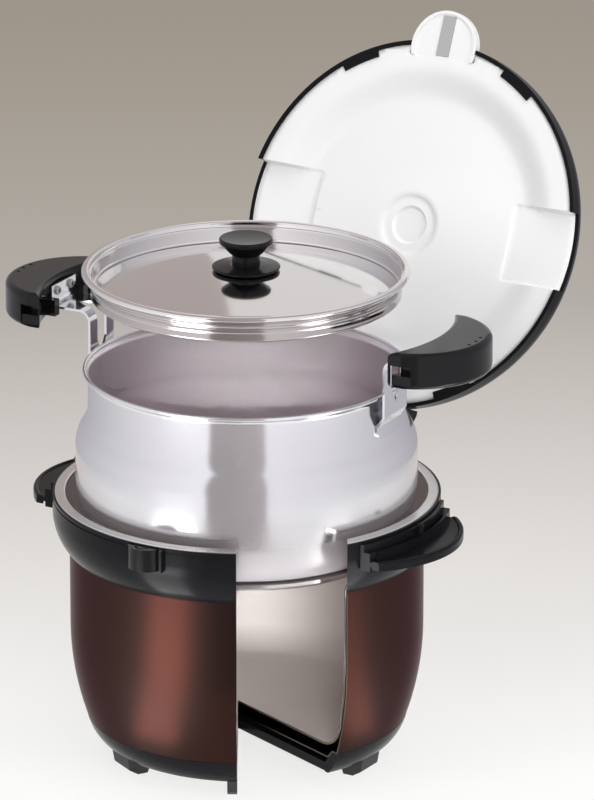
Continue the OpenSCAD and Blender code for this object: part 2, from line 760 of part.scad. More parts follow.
module handle_bracket_left() { color([0.75, 0.75, 0.77]) at_pot() mirror([1, 0, 0]) handle_bracket(); }

module grip() {
    e = grip_edge;
    oc = grip_out_x - grip_out_r;
    ic = grip_in_x - grip_in_r;
    difference() {
        union() {
            intersection() {
                // Disc with a rounded rim makes the outer curve
                translate([oc, 0, grip_z]) rotate_extrude() {
                    band(0, grip_out_r - e, 0, grip_h);
                    band(0, grip_out_r, e, grip_h - e);
                    for (z = [e, grip_h - e]) translate([grip_out_r - e, z]) circle(e, $fn = 60);
                }
                // Rounded ends
                translate([0, 0, grip_z]) rotate([90, 0, 90]) linear_extrude(grip_out_x + 5) {
                    translate([-grip_l / 2 + e, 0]) square([grip_l - 2 * e, grip_h]);
                    translate([-grip_l / 2, e]) square([grip_l, grip_h - 2 * e]);
                    for (y = [-1, 1]) for (z = [e, grip_h - e])
                        translate([y * (grip_l / 2 - e), z]) circle(e, $fn = 60);
                }
            }
        }
        // Inner curve, with its upper and lower edges eased
        translate([ic, 0, grip_z]) rotate_extrude(convexity = 6) {
            band(0, grip_in_r, -1, grip_h + 1);
            difference() {
                band(grip_in_r - 1, grip_in_r + 2.5, -1, 2.5);
                translate([grip_in_r + 2.5, 2.5]) circle(2.5, $fn = 48);
            }
            difference() {
                band(grip_in_r - 1, grip_in_r + 2.5, grip_h - 2.5, grip_h + 1);
                translate([grip_in_r + 2.5, grip_h - 2.5]) circle(2.5, $fn = 48);
            }
        }
        // Moulded pockets in the two ends, deep above and shallow below
        for (m = [0, 1]) mirror([0, m, 0]) for (c = [[8, grip_h * 0.35], [2.5, grip_h * 0.05]])
            translate([grip_in_x - 9, grip_l / 2 - c[0], grip_z + c[1]]) cube([12, c[0] + 1, grip_h * 0.3]);
        // Three touch dimples on the top
        for (a = [-11, 0, 11]) translate([oc, 0, grip_z + grip_h]) rotate([0, 0, a])
            translate([grip_out_r - e - 2, 0, 0]) sphere(1.1, $fn = 24);
    }
    // Lugs that clasp the sides of the bracket's plate
    for (m = [-1, 1]) difference() {
        translate([flange_x - 6, m * (bracket_w / 2 + clear + 2.5) - 2.5, plate_up - 3]) cube([11, 5, 9]);
        translate([flange_x - 7, m * (bracket_w / 2 + clear) - 8, plate_up + 7]) rotate([0, -30, 0])
            translate([-12, 0, 0]) cube([14, 16, 12]);
    }
}

module grip_right() { color([0.05, 0.05, 0.055]) at_pot() grip(); }

module grip_left() { color([0.05, 0.05, 0.055]) at_pot() mirror([1, 0, 0]) grip(); }

module grip_screws() {
    color([0.6, 0.6, 0.6]) at_pot() for (m = [0, 1]) mirror([m, 0, 0]) for (n = [-1, 1])
        translate([flange_x - bracket_t, n * bracket_w * 0.27, plate_up + turned_up * 0.7]) rotate([0, -90, 0])
            screw(2.5, 0.8);
}

// Pot lid, drawn with the underside of its rolled edge at zero

module pot_lid_pan() {
    e = bead_h / 2;
    color([0.83, 0.82, 0.82]) at_pan() difference() {
        rotate_extrude() {
            // Rolled edge
            translate([bead_r - e, e]) circle(e, $fn = 60);
            band(skirt_r - pan_t, bead_r - e, bead_h - pan_t, bead_h);
            // Skirt and the fold at its foot
            band(skirt_r - pan_t, skirt_r, pan_t - skirt_h, bead_h - eps);
            band(pan_in_r, skirt_r - pan_t + eps, pan_t - skirt_h, gutter_z + eps);
            translate([skirt_r - pan_t, pan_t - skirt_h]) circle(pan_t, $fn = 24);
            // Shallow crown
            intersection() {
                difference() {
                    translate([0, crown_z - pan_sphere]) circle(pan_sphere, $fn = 240);
                    translate([0, crown_z - pan_sphere - pan_t]) circle(pan_sphere, $fn = 240);
                }
                band(0, pan_in_r + eps, gutter_z - pan_t - 1, crown_z + 1);
            }
        }
        translate([0, 0, crown_z - 5]) cylinder(h = 10, r = hole_r);
    }
}

module knob_base() {
    z = crown_z;
    color([0.04, 0.04, 0.045]) at_pan() difference() {
        rotate_extrude() polygon([[0, z], [knob_base_r - 1, z], [knob_base_r, z + 0.9], [knob_base_r, z + 1.7],
                                  [knob_base_r - 0.8, z + 2], [9, z + 3], [0, z + 3]]);
        translate([0, 0, z - 1]) cylinder(h = 10, r = hole_r);
    }
}

module knob() {
    z = crown_z + 3;
    n = knob_r * 0.52;
    e = 1.3;
    h = knob_h;
    dish_r = 10 * knob_r;
    color([0.04, 0.04, 0.045]) at_pan() difference() {
        rotate_extrude() {
            band(0, n, 0 + z, z + neck_h);
            polygon([[0, z + neck_h - eps], [n, z + neck_h - eps], [n + 1.5, z + neck_h + 1],
                     [knob_r, z + h - 2 * e], [knob_r, z + h - e], [0, z + h - e]]);
            translate([knob_r - e, z + h - e]) circle(e, $fn = 32);
            band(0, knob_r - e, z + h - e - eps, z + h);
        }
        // Slightly dished top
        translate([0, 0, z + h + dish_r - 0.7]) sphere(dish_r, $fn = 180);
        translate([0, 0, z - 1]) cylinder(h = 8, r = hole_r);
    }
}

module knob_screw() {
    z = crown_z - pan_t - 0.15;
    color([0.6, 0.6, 0.6]) at_pan() {
        translate([0, 0, z - 1.2]) cylinder(h = 1.2, r = 8);
        translate([0, 0, z - 3.4]) cylinder(h = 2.3, r1 = 3.4, r2 = 4.6);
        translate([0, 0, z - 2]) cylinder(h = 11, r = hole_r - clear);
    }
}

outer_shell();
inner_shell();
radiation_foil();
seal_tip();
mouth_ring();
collar();
latch_catch();
wing_right();
wing_left();
wing_screws();
base_cover();
base_screws();
foot_pads();
hinge_bracket();
hinge_pin();
lid_shell();
lid_liner();
lid_foam();
latch_tab();
latch_strip();
lid_hinge_arm();
lid_screws();
pot_body();
pot_base_disc();
handle_bracket_right();
handle_bracket_left();
grip_right();
grip_left();
grip_screws();
pot_lid_pan();
knob_base();
knob();
knob_screw();
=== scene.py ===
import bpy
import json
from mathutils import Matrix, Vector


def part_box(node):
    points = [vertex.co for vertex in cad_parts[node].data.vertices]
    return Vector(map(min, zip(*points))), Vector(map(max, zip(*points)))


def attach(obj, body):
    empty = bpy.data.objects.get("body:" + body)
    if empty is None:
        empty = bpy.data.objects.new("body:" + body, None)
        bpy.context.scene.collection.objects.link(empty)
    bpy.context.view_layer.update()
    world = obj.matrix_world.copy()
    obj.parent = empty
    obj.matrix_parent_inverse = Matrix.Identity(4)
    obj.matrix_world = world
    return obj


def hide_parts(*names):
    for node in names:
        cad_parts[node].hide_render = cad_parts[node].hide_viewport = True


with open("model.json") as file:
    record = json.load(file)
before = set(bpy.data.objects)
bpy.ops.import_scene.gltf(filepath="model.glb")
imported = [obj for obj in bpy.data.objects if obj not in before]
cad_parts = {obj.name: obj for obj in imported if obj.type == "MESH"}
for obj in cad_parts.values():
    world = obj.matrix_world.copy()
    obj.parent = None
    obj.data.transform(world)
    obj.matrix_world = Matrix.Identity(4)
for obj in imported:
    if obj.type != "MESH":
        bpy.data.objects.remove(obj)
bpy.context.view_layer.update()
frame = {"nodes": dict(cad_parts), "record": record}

import json
import math
from collections import namedtuple

import bmesh
import bpy
from mathutils import Matrix, Vector

# Viewpoint: a long lens a few metres away, a little above the vessel's mouth and to the
# right of the latch, so that round edges look almost as flat as in a drawing.
view_turn, view_rise = math.radians(31.0), math.radians(18.5)
lens_distance, aim_right, aim_height = 4.0, 0.0275, 0.2016
focal_px, image_height_px, sensor_height = 7349.0, 800.0, 36.0
view_right = Vector((math.cos(view_turn), math.sin(view_turn), 0.0))
view_front = Vector((math.sin(view_turn), -math.cos(view_turn), 0.0))
towards_lens = view_front * math.cos(view_rise) + Vector((0, 0, math.sin(view_rise)))


def place(name, data):
    """Put a new object with this data into the scene."""
    made = bpy.data.objects.new(name, data)
    bpy.context.scene.collection.objects.link(made)
    return made


lens = bpy.data.cameras.new("studio_lens")
lens.sensor_fit = "VERTICAL"
lens.sensor_height = sensor_height
lens.lens = focal_px / image_height_px * sensor_height
lens.clip_end = 50.0
camera = place("studio_camera", lens)
tripod = view_right * aim_right + Vector((0, 0, aim_height)) + towards_lens * lens_distance
facing = Matrix((view_right, towards_lens.cross(view_right), towards_lens)).transposed()
camera.matrix_world = Matrix.Translation(tripod) @ facing.to_4x4()
bpy.context.scene.camera = camera

# Outer shell: spun steel with a satin metallic brown paint, baked on. Fine flakes lie under
# a clear coat, and the two cut faces show the bare sheet.


def add_node(tree, kind, links=(), values=(), **settings):
    """Add a shader node with its settings, socket values and incoming links."""
    made = tree.nodes.new(kind)
    for key, value in settings.items():
        setattr(made, key, value)
    for socket, value in values:
        made.inputs[socket].default_value = value
    for socket, source in links:
        tree.links.new(source, made.inputs[socket])
    return made


def math_node(tree, operation, *terms, clamp=False):
    """Add a math node whose terms are numbers or sockets, and return its result."""
    made = add_node(tree, "ShaderNodeMath", operation=operation, use_clamp=clamp)
    for index, term in enumerate(terms):
        if isinstance(term, (int, float)):
            made.inputs[index].default_value = term
        else:
            tree.links.new(term, made.inputs[index])
    return made.outputs[0]


def along(tree, spot, direction):
    """Distance of a point from the origin along a direction."""
    made = add_node(tree, "ShaderNodeVectorMath", [(0, spot)], [(1, tuple(direction))],
                    operation="DOT_PRODUCT")
    return made.outputs["Value"]


def object_spot(tree):
    """Point on the surface in the cooker's own frame."""
    return add_node(tree, "ShaderNodeTexCoord").outputs["Object"]


def noise(tree, spot, scale, detail):
    """Plain noise at a point, with the scale taken from a socket."""
    made = add_node(tree, "ShaderNodeTexNoise", [("Vector", spot), ("Scale", scale)], [("Detail", detail)])
    return made.outputs[0]


def effect_group(name, inputs, outputs):
    """Start a shader node group, and return it with its incoming and outgoing sockets."""
    group = bpy.data.node_groups.new(name, "ShaderNodeTree")
    for label, value in inputs:
        socket = group.interface.new_socket(label, in_out="INPUT", socket_type="NodeSocketFloat")
        socket.default_value = value
    for label in outputs:
        group.interface.new_socket(label, in_out="OUTPUT", socket_type="NodeSocketFloat")
    return group, group.nodes.new("NodeGroupInput").outputs, group.nodes.new("NodeGroupOutput").inputs


# Cloudiness of a surface that is wiped and handled: broad patches sway the roughness, and
# fine specks stand for flakes, grain or dust
handled, given, put = effect_group(
    "handled_surface",
    [("Patch Scale", 18.0), ("Speck Scale", 900.0), ("Roughness", 0.3), ("Spread", 0.08)],
    ["Roughness", "Patches", "Specks"])
spot = object_spot(handled)
patches = noise(handled, spot, given["Patch Scale"], detail=5.0)
specks = noise(handled, spot, given["Speck Scale"], detail=2.0)
sway = math_node(handled, "MULTIPLY", math_node(handled, "SUBTRACT", patches, 0.5), given["Spread"])
handled.links.new(math_node(handled, "ADD", sway, given["Roughness"], clamp=True), put["Roughness"])
handled.links.new(patches, put["Patches"])
handled.links.new(specks, put["Specks"])

Finish = namedtuple("Finish", "mat tree shader wear tone")


def finish(name, dark, pale, roughness, metallic=0.0, mask="Patches", spread=0.06, patch=18.0, speck=900.0,
           **sockets):
    """A handled surface between two tones that patches or specks mix. Extra words set shader sockets."""
    mat = bpy.data.materials.new(name)
    mat.use_nodes = True
    tree = mat.node_tree
    shader = tree.nodes["Principled BSDF"]
    shader.inputs["Metallic"].default_value = metallic
    for label, value in sockets.items():
        shader.inputs[label.replace("_", " ")].default_value = value
    wear = add_node(tree, "ShaderNodeGroup", node_tree=handled)
    wear.inputs["Patch Scale"].default_value = patch
    wear.inputs["Speck Scale"].default_value = speck
    wear.inputs["Roughness"].default_value = roughness
    wear.inputs["Spread"].default_value = spread
    tree.links.new(wear.outputs["Roughness"], shader.inputs["Roughness"])
    mixed = add_node(tree, "ShaderNodeMix", [("Factor", wear.outputs[mask])], data_type="RGBA")
    mixed.inputs["A"].default_value = (*dark, 1.0)
    mixed.inputs["B"].default_value = (*pale, 1.0)
    tree.links.new(mixed.outputs["Result"], shader.inputs["Base Color"])
    return Finish(mat, tree, shader, wear.outputs, mixed.outputs["Result"])


def relief(made, height, strength, distance=0.0002):
    """Roughen a finish by a height, with its depth in metres."""
    bump = add_node(made.tree, "ShaderNodeBump", [("Height", height)],
                    [("Strength", strength), ("Distance", distance)])
    made.tree.links.new(bump.outputs["Normal"], made.shader.inputs["Normal"])


def recolour(made, mask, colour):
    """Lay another colour over a finish where the mask says."""
    over = add_node(made.tree, "ShaderNodeMix", data_type="RGBA")
    over.inputs["B"].default_value = (*colour, 1.0)
    made.tree.links.new(mask, over.inputs["Factor"])
    made.tree.links.new(made.tone, over.inputs["A"])
    made.tree.links.new(over.outputs["Result"], made.shader.inputs["Base Color"])


def dress(made, *names):
    """Give CAD nodes a finish in place of their plain one."""
    for name in names:
        slots = frame["nodes"][name].data.materials
        slots.clear()
        slots.append(made.mat)


# Mask of the two flat faces that the cut leaves: the left one lies along the view, and the
# right one leans away from it
cut_left, cut_lean = 0.005, math.radians(36.5)
leaning = view_right * math.cos(cut_lean) - view_front * math.sin(cut_lean)
cut_face, given, put = effect_group("cut_face", [("Depth", 0.0001)], ["Cut"])
spot = object_spot(cut_face)
faces = []
for side, offset in ((view_right, -cut_left), (leaning, -cut_left * math.cos(cut_lean))):
    away = math_node(cut_face, "SUBTRACT", along(cut_face, spot, side), offset)
    faces.append(math_node(cut_face, "LESS_THAN", math_node(cut_face, "ABSOLUTE", away), given["Depth"]))
in_front = math_node(cut_face, "GREATER_THAN", along(cut_face, spot, view_front), 0.0)
either = math_node(cut_face, "MAXIMUM", *faces)
cut_face.links.new(math_node(cut_face, "MULTIPLY", either, in_front), put["Cut"])


def bare_edge(made):
    """Show the bare sheet where the cut runs through a wall."""
    cut = add_node(made.tree, "ShaderNodeGroup", node_tree=cut_face)
    recolour(made, cut.outputs["Cut"], (0.16, 0.15, 0.12))


brown = finish("brown_metallic_paint", (0.0140, 0.0025, 0.0010), (0.039, 0.0075, 0.0032),
               roughness=0.31, metallic=1.0, mask="Specks", spread=0.05, patch=9.0, speck=2600.0,
               Coat_Weight=0.32, Coat_Roughness=0.5, Specular_Tint=(0.5, 0.42, 0.42, 1.0))
bare_edge(brown)
relief(brown, brown.wear["Specks"], strength=0.06, distance=0.0003)
dress(brown, "outer_shell")

# Inner shell, foil and evacuation seal: thin stainless sheet, polished inside, with a bright
# foil wrapped in the vacuum space and a soldered disc under the bottom.

# Fine rings left by spinning and lathe polishing, round the vessel's axis
spun, given, put = effect_group("spun_rings", [("Scale", 900.0)], ["Rings"])
spot = add_node(spun, "ShaderNodeSeparateXYZ", [(0, object_spot(spun))]).outputs
squares = [math_node(spun, "POWER", spot[axis], 2.0) for axis in "XY"]
reach = math_node(spun, "SQRT", math_node(spun, "ADD", *squares))
track = add_node(spun, "ShaderNodeCombineXYZ", [("X", reach), ("Y", spot["Z"])]).outputs[0]
spun.links.new(noise(spun, track, given["Scale"], detail=3.0), put["Rings"])


def spun_finish(name, colour, roughness, spread, rings, depth, tone=0.06, metallic=1.0):
    """Stainless sheet: rings from spinning in the relief, and a little patchy in tone."""
    dark = [c * (1 - tone) for c in colour]
    pale = [min(1.0, c * (1 + tone)) for c in colour]
    made = finish(name, dark, pale, roughness, metallic, spread=spread, patch=14.0)
    turned = add_node(made.tree, "ShaderNodeGroup", node_tree=spun)
    turned.inputs["Scale"].default_value = rings
    relief(made, turned.outputs["Rings"], depth)
    return made


inner_steel = spun_finish("polished_inner_steel", (0.84, 0.78, 0.75), roughness=0.33, spread=0.08,
                          rings=700.0, depth=0.04, metallic=0.5)
bare_edge(inner_steel)
dress(inner_steel, "inner_shell")
foil_tone = (0.55, 0.48, 0.30)
foil = finish("reflective_foil", foil_tone, foil_tone, roughness=0.3, metallic=1.0)
relief(foil, foil.wear["Specks"], strength=0.3, distance=0.0004)
dress(foil, "radiation_foil")
zinc = finish("zinc_plate", (0.48, 0.48, 0.49), (0.62, 0.62, 0.62),
              roughness=0.35, metallic=1.0, spread=0.1)
dress(zinc, "seal_tip")

# Mouth ring: a stainless ring that closes the top of the two shells, turned to a satin face
# and hemmed down at its outer edge.
ring_steel = spun_finish("turned_ring_steel", (0.74, 0.73, 0.71), roughness=0.22, spread=0.08,
                         rings=1500.0, depth=0.08)
dress(ring_steel, "mouth_ring")

# Collar, catch, wings, base ring and hinge bracket: black polypropylene mouldings with a
# faint moulded grain, snapped and screwed to the steel. The wings' screws are blackened, the
# others plated.
black = finish("glossy_black_moulding", (0.005, 0.005, 0.006), (0.008, 0.008, 0.010),
               roughness=0.2, spread=0.1, patch=30.0, speck=1500.0, Specular_IOR_Level=0.08)
relief(black, black.wear["Specks"], strength=0.05)
dress(black, "collar", "base_cover", "hinge_bracket", "wing_right", "wing_left", "wing_screws")
polished = finish("polished_black_moulding", (0.005, 0.005, 0.006), (0.009, 0.009, 0.010),
                  roughness=0.12, patch=30.0, speck=1500.0, Specular_IOR_Level=0.22)
relief(polished, polished.wear["Specks"], strength=0.03)
dress(polished, "latch_catch")
dress(zinc, "base_screws", "hinge_pin")

# Feet: six soft rubber pads, moulded with a bevelled toe and pressed into the base ring, so
# that the cooker doesn't slide.
pads = finish("foot_pad_rubber", (0.009, 0.009, 0.010), (0.018, 0.018, 0.019),
              roughness=0.55, spread=0.1, patch=40.0, speck=1800.0)
relief(pads, pads.wear["Specks"], strength=0.15)
dress(pads, "foot_pads")

# Outer lid shell and hinge arm: one deep black moulding, glossy outside, and the black arm
# that is screwed to it and turns on the pin.
dress(black, "lid_shell", "lid_hinge_arm")
dress(zinc, "lid_screws")

# Lid liner, tab and strip: smooth white moulding, snapped into the shell, with a tab at the
# front that hooks over the catch, a grey strip set into it, and foam behind the panel.
white = finish("white_liner_moulding", (0.815, 0.81, 0.805), (0.845, 0.84, 0.835),
               roughness=0.36, spread=0.08, patch=24.0, speck=1400.0)
relief(white, white.wear["Specks"], strength=0.03)
dress(white, "latch_tab")

# Sizes of the liner in millimetres, in the closed lid with its rim at level 0
panel_r, panel_level, crown_h = 71.1, 7.0, 3.8
step_r, step_w, flange_level, flange_r = 91.1, 20.0, 1.0, 102.1
dimple_r, dimple_depth, button_r, button_depth, dimple_wall = 17.5, 1.2, 11.0, 1.6, 1.5
channel_half, channel_end, channel_level, channel_wall = 22.2, 62.0, 7.5, 1.4
tab_half, tab_edge = 20.8, -95.1
liner_wall = 0.0018


def ease(share):
    """Soft step from 0 to 1."""
    share = min(1.0, max(0.0, share))
    return share * share * (3 - 2 * share)


def liner_level(x, y):
    """Level of the liner's face: flange, soft step, crowned panel with a stepped round dimple,
    and a channel at each side for a handle's straps."""
    r = math.hypot(x, y)
    if r > panel_r:
        z = flange_level + (panel_level - flange_level) * ease((step_r - r) / step_w)
    else:
        z = panel_level - crown_h * (1 - (r / panel_r) ** 2)
    dimple = dimple_depth * ease((dimple_r - r) / dimple_wall)
    button = button_depth * ease((button_r - r) / dimple_wall)
    z += dimple + button
    across, outwards = (channel_half - abs(y)) / channel_wall, (abs(x) - channel_end) / channel_wall
    return z + (channel_level - z) * ease(across) * ease(outwards)


def shade_smooth(mesh, sharp):
    """Round shading, with edges past an angle in degrees left sharp."""
    mesh.polygons.foreach_set("use_smooth", [True] * len(mesh.polygons))
    mesh.set_sharp_from_angle(angle=math.radians(sharp))


# Radii of the mesh's rings, close together where the face bends
dimple_rings = [4, 8, 9.5, 10.25, button_r, 14, 16, 16.75, dimple_r]
panel_rings = [20, *range(26, 63, 6), 67, panel_r]
step_rings = [73.5 + 2.5 * i for i in range(7)] + [step_r]
flange_rings = [92.5, 95, 98.5, flange_r]
turns = 240
bearings = [2 * math.pi * k / turns for k in range(turns)]
shape = bmesh.new()
loops = [[shape.verts.new((r * math.cos(a), r * math.sin(a), 0)) for a in bearings]
         for r in dimple_rings + panel_rings + step_rings + flange_rings]
hub = shape.verts.new((0, 0, 0))
for k in range(turns):
    shape.faces.new((hub, loops[0][k - 1], loops[0][k]))
    for inner, outer in zip(loops, loops[1:]):
        shape.faces.new((inner[k - 1], outer[k - 1], outer[k], inner[k]))
ends = [channel_end + channel_wall * share for share in (0, 0.5, 1)]
sides = [channel_half - channel_wall * share for share in (0, 0.5, 1)]
creases = [((1, 0, 0), side * at) for side in (-1, 1) for at in [*ends, tab_half]]
creases += [((0, 1, 0), at) for at in [tab_edge, *(-at for at in sides), *reversed(sides)]]
for normal, at in creases:
    bmesh.ops.bisect_plane(shape, geom=shape.verts[:] + shape.edges[:] + shape.faces[:], dist=1e-4,
                           plane_co=[at * n for n in normal], plane_no=normal)
middles = [(face, face.calc_center_median()) for face in shape.faces]
under_tab = [face for face, middle in middles if abs(middle.x) < tab_half and middle.y < tab_edge]
bmesh.ops.delete(shape, geom=under_tab, context="FACES")
for corner in shape.verts:
    corner.co.z = liner_level(corner.co.x, corner.co.y)
hinge = next(joint for joint in frame["record"]["behaviour"]["joints"] if joint["name"] == "lid_hinge")
pin, rim_over_pin = Vector(hinge["pos_m"]), 0.003
opened = Matrix.Rotation(math.radians(-hinge["range_deg"][1]), 4, "X")
to_lid = Matrix.Translation((0, -pin.y, rim_over_pin)) @ Matrix.Scale(0.001, 4)
bmesh.ops.transform(shape, matrix=Matrix.Translation(pin) @ opened @ to_lid, verts=shape.verts)
bmesh.ops.reverse_faces(shape, faces=shape.faces)
mesh = bpy.data.meshes.new("lid_liner_moulded")
shape.to_mesh(mesh)
shape.free()
shade_smooth(mesh, 45)
mesh.materials.append(white.mat)
liner = place("lid_liner_moulded", mesh)
wall = liner.modifiers.new("wall", "SOLIDIFY")
wall.thickness, wall.offset = liner_wall, -1.0
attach(liner, "outer_lid")
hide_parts("lid_liner")
strip = finish("grey_strip_satin", (0.37, 0.37, 0.37), (0.44, 0.44, 0.44), roughness=0.4, metallic=0.2)
dress(strip, "latch_strip")
foam_tone = (0.8, 0.78, 0.66)
foam = finish("insulating_foam", foam_tone, foam_tone, roughness=0.9)
relief(foam, foam.wear["Specks"], strength=0.5, distance=0.001)
dress(foam, "lid_foam")

# Pot: deep-drawn stainless with a drawn-in neck, a soft shoulder and a rolled lip, satin
# outside with a brushed bottom corner whose colour is darkened as painted shade, duller inside, and a
# sandwich disc brazed underneath.


def arc(centre, reach, start, end, steps):
    """Points on an ellipse, centre and half axes in millimetres, angles in degrees."""
    swings = [math.radians(start + (end - start) * i / steps) for i in range(steps + 1)]
    return [(centre[0] + reach[0] * math.cos(a), centre[1] + reach[1] * math.sin(a)) for a in swings]


def lathe(name, outline, level, other_from, mats, steps=256):
    """A spun piece: pairs of radius and height in millimetres, turned round the vessel's axis at a
    level in metres. From one point of the outline on, it has the second material."""
    count, points, faces = len(outline), [], []
    for k in range(steps):
        a = 2 * math.pi * k / steps
        points += [(r * math.cos(a) / 1000, r * math.sin(a) / 1000, level + z / 1000) for r, z in outline]
    for k in range(steps):
        p, q = k * count, (k + 1) % steps * count
        faces += [(p + i, q + i, q + i + 1, p + i + 1) for i in range(count - 1)]
    mesh = bpy.data.meshes.new(name)
    mesh.from_pydata(points, [], faces)
    second = [int(n % (count - 1) >= other_from) for n in range(len(faces))]
    mesh.polygons.foreach_set("material_index", second)
    shape = bmesh.new()
    shape.from_mesh(mesh)
    bmesh.ops.remove_doubles(shape, verts=shape.verts, dist=1e-6)
    bmesh.ops.recalc_face_normals(shape, faces=shape.faces)
    shape.to_mesh(mesh)
    shape.free()
    shade_smooth(mesh, 50)
    for mat in mats:
        mesh.materials.append(mat)
    return place(name, mesh)


# Sizes of the pot in millimetres, with heights from the top of its lip
belly_r, neck_r, lip_r, pot_sheet, lip_bead = 93.4, 86.4, 88.2, 1.1, 1.1
corner_w, corner_h, corner_level = 17.0, 34.5, -62.0
bend_r, bend_swing, belly_top, neck_low = 22.3, 32.6, -44.0, -20.1
flare_r, flare_level = 3.0, -5.0
pot_bottom = corner_level - corner_h


def pot_wall(skin):
    """Outline of the pot's side from the bottom corner to the lip, moved inwards by the skin."""
    return (arc((belly_r - corner_w, corner_level), (corner_w - skin, corner_h - skin), -90, 0, 18)
            + arc((belly_r - bend_r, belly_top), (bend_r - skin, bend_r - skin), 0, bend_swing, 10)
            + arc((neck_r + bend_r, neck_low), (bend_r + skin, bend_r + skin), 180 + bend_swing, 180, 10)[1:]
            + arc((neck_r + flare_r, flare_level), (flare_r + skin, flare_r + skin), 180, 120, 6))


# The satin coarsens to a brushed bottom corner, which also loses its mirror at the very bottom,
# and the corner's colour is darkened there as painted shade
satin_rough, brushed_rough = 0.14, 0.40
satin_metal, corner_metal = 0.94, 0.20
brush_and_shade_low, brush_and_shade_high = 0.004, 0.044
pot_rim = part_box("pot_body")[1][2]
satin = spun_finish("satin_pot_steel", (0.77, 0.762, 0.79), satin_rough, spread=0.05,
                    rings=900.0, depth=0.03, tone=0.03, metallic=satin_metal)
height = add_node(satin.tree, "ShaderNodeSeparateXYZ", [(0, object_spot(satin.tree))]).outputs["Z"]
foot_z = pot_rim + pot_bottom / 1000
corner_brushed_and_shaded = add_node(satin.tree, "ShaderNodeMapRange", [(0, height)],
                   [("From Min", foot_z + brush_and_shade_low), ("From Max", foot_z + brush_and_shade_high),
                    ("To Min", 1.0), ("To Max", 0.0)]).outputs[0]
coarse = math_node(satin.tree, "MULTIPLY_ADD", corner_brushed_and_shaded, brushed_rough - satin_rough, satin_rough)
satin.tree.links.new(coarse, satin.shader.inputs["Roughness"])
lowest = math_node(satin.tree, "POWER", corner_brushed_and_shaded, 4.0)
dulled = math_node(satin.tree, "MULTIPLY_ADD", lowest, corner_metal - satin_metal, satin_metal)
satin.tree.links.new(dulled, satin.shader.inputs["Metallic"])
# Painted shade: the bottom corner's colour is darkened towards the pot's foot
recolour(satin, corner_brushed_and_shaded, (0.50, 0.47, 0.485))
duller = spun_finish("pot_inside_steel", (0.80, 0.73, 0.77), roughness=0.2, spread=0.08,
                     rings=900.0, depth=0.05, tone=0.05, metallic=0.7)
outer_side = pot_wall(0) + arc((lip_r, -lip_bead), (lip_bead, lip_bead), -90, 180, 14)
pot_outline = [(0, pot_bottom), *outer_side, *reversed(pot_wall(pot_sheet)), (0, pot_bottom + pot_sheet)]
pot = lathe("pot_body_drawn", pot_outline, pot_rim, len(outer_side) - 1, (satin.mat, duller.mat))
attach(pot, "pot")
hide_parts("pot_body")
disc = spun_finish("disc_steel", (0.68, 0.64, 0.65), roughness=0.21, spread=0.08, rings=1100.0, depth=0.06)
dress(disc, "pot_base_disc")

# Handles: bent stainless forks, welded to the neck, and black grips screwed to their
# turned-up ends.
fork = finish("bent_strap_steel", (0.73, 0.73, 0.76), (0.82, 0.82, 0.85), roughness=0.14, metallic=1.0)
dress(fork, "handle_bracket_right", "handle_bracket_left")
dress(polished, "grip_right", "grip_left")
dress(zinc, "grip_screws")

# Pot lid: mirror-polished pan with a gutter, a rolled edge and a grooved skirt below it, and a
# black knob on a flange, held by one screw from below.

# Sizes of the pan in millimetres, with heights from the underside of its rolled edge, and the
# stretches of its outline from the middle of the crown to the foot of the skirt
crown_r, crown_top, pan_sheet, crown_swing = 330.9, 2.5, 0.8, 14.47
edge_r, edge_bead = 87.8, 1.5
crown = arc((0, crown_top - crown_r), (crown_r, crown_r), 90, 90 - crown_swing, 40)
gutter = arc((82.9, -6.6), (1.0, 1.4), -120, 0, 6) + [(83.9, -1.6)]
gutter_lip = arc((84.6, -0.4), (0.7, 0.8), 180, 60, 6) + [(85.1, 0.5), (85.3, 2.2)]
rolled_edge = (arc((86.0, 2.2), (0.7, 0.8), 180, 90, 5)
               + arc((edge_r, edge_bead), (edge_bead, edge_bead), 90, -90, 12)
               + [(85.8, 0.0), (85.2, -0.9)])
upper = crown + gutter + gutter_lip + rolled_edge
top_bead = arc((84.4, -2.6), (0.5, 0.9), 80, -80, 6) + [(84.2, -4.4)]
middle_bead = arc((83.7, -6.2), (1.0, 1.4), 70, -60, 6) + [(84.2, -8.4)]
foot_bead = arc((82.9, -10.8), (1.5, 1.5), 30, -110, 8)
skirt = top_bead + middle_bead + foot_bead
below = arc((0, crown_top - pan_sheet - crown_r), (crown_r, crown_r), 90 - crown_swing, 90, 40)
mirror = spun_finish("mirror_lid_steel", (0.82, 0.80, 0.80), roughness=0.09, spread=0.03,
                     rings=600.0, depth=0.015, tone=0.02)
# Painted shade: the skirt's steel is a darker copy of the pan's, standing for shade below the rolled edge
dull_and_shaded_skirt = spun_finish("lid_skirt_steel", (0.52, 0.485, 0.48), roughness=0.14, spread=0.05,
                   rings=900.0, depth=0.03)
pan_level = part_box("pot_lid_pan")[1][2] - 2 * edge_bead / 1000
pan = lathe("pot_lid_rolled", upper + skirt + below, pan_level, len(upper), (mirror.mat, dull_and_shaded_skirt.mat))
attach(pan, "pot_lid")
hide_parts("pot_lid_pan")
dress(polished, "knob_base", "knob")
dress(zinc, "knob_screw")

# Studio: a wide pale floor that darkens to taupe behind the cooker, soft boxes around it,
# and cards that only polished metal sees.
floor_half = 6.0
corners = [(x * floor_half, y * floor_half, 0) for x, y in ((-1, -1), (1, -1), (1, 1), (-1, 1))]
floor_mesh = bpy.data.meshes.new("studio_floor")
floor_mesh.from_pydata(corners, [], [(0, 1, 2, 3)])
floor = place("studio_floor", floor_mesh)


